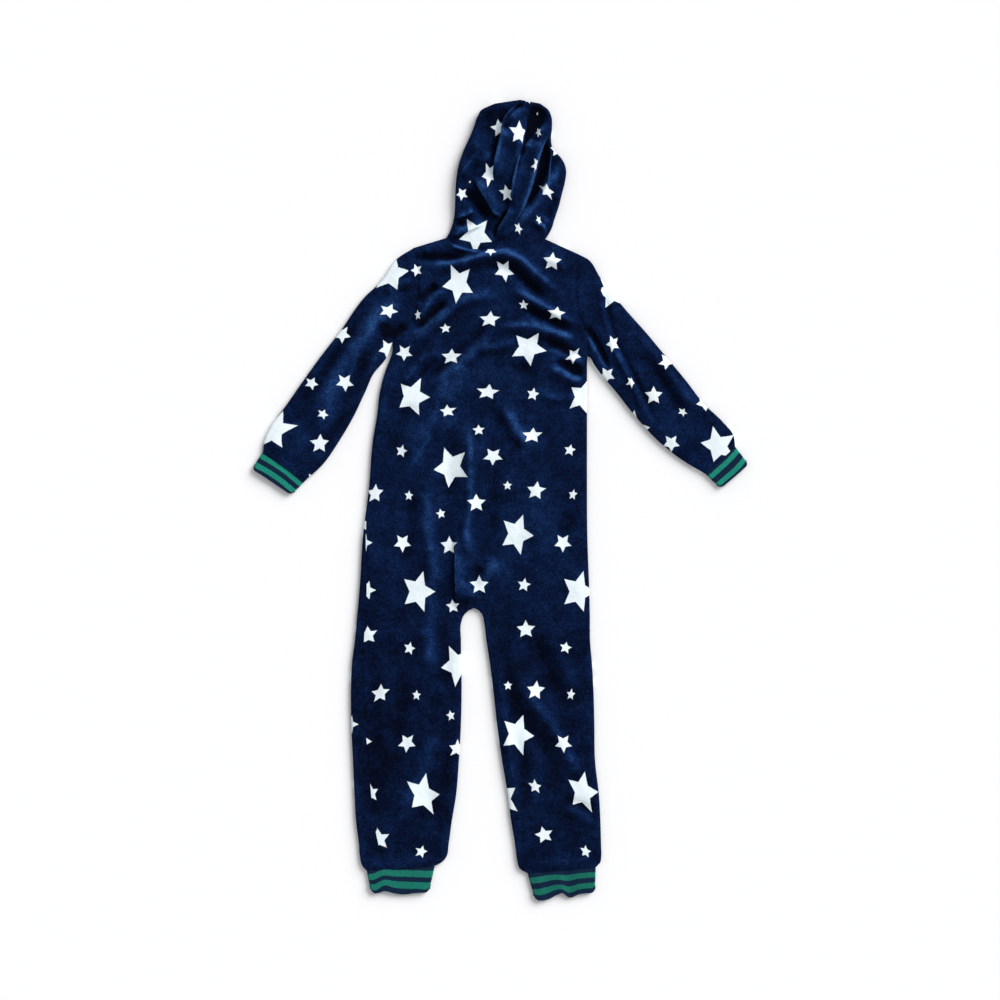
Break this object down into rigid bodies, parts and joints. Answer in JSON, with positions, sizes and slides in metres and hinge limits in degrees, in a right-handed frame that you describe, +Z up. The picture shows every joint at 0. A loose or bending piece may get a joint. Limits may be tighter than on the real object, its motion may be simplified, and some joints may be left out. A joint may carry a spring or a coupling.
{
  "type": "hooded onesie pajama, laid flat",
  "caption": "Child's hooded fleece one-piece pyjama laid flat and face down, with long sleeves, long legs, striped rib cuffs and a front zip.",
  "frame": {"origin": "centre of the bounding box in plan, on the surface that the garment lies on", "axes": "+X across the garment to the right of someone looking down on its back, +Y towards the hood, +Z up, out of the back"},
  "size_m": [0.7438, 1.1989, 0.0256],
  "materials": {
    "fleece": "brushed pile, matte",
    "rib": "rib knit, matte",
    "zip_tape": "woven, matte",
    "zip_coil": "satin",
    "zip_metal": "satin"
  },
  "bodies": {
    "garment": {"back": "fleece", "front_left": "fleece", "front_right": "fleece", "sleeve_left": "fleece", "sleeve_right": "fleece", "hood_left": "fleece", "hood_right": "fleece", "wrist_cuff_left": "rib", "wrist_cuff_right": "rib", "ankle_cuff_left": "rib", "ankle_cuff_right": "rib", "zip_tape_left": "zip_tape", "zip_tape_right": "zip_tape", "zip_chain": "zip_coil", "zip_slider": "zip_metal"},
    "pull_tab": {"pull_tab": "zip_metal"}
  },
  "joints": [
    {"name": "pull_tab_hinge", "type": "hinge", "parent": "garment", "child": "pull_tab", "pos_m": [-0.00697, 0.327, 0.00105], "axis": [1, 0, 0], "range_deg": [0, 170]}
  ]
}
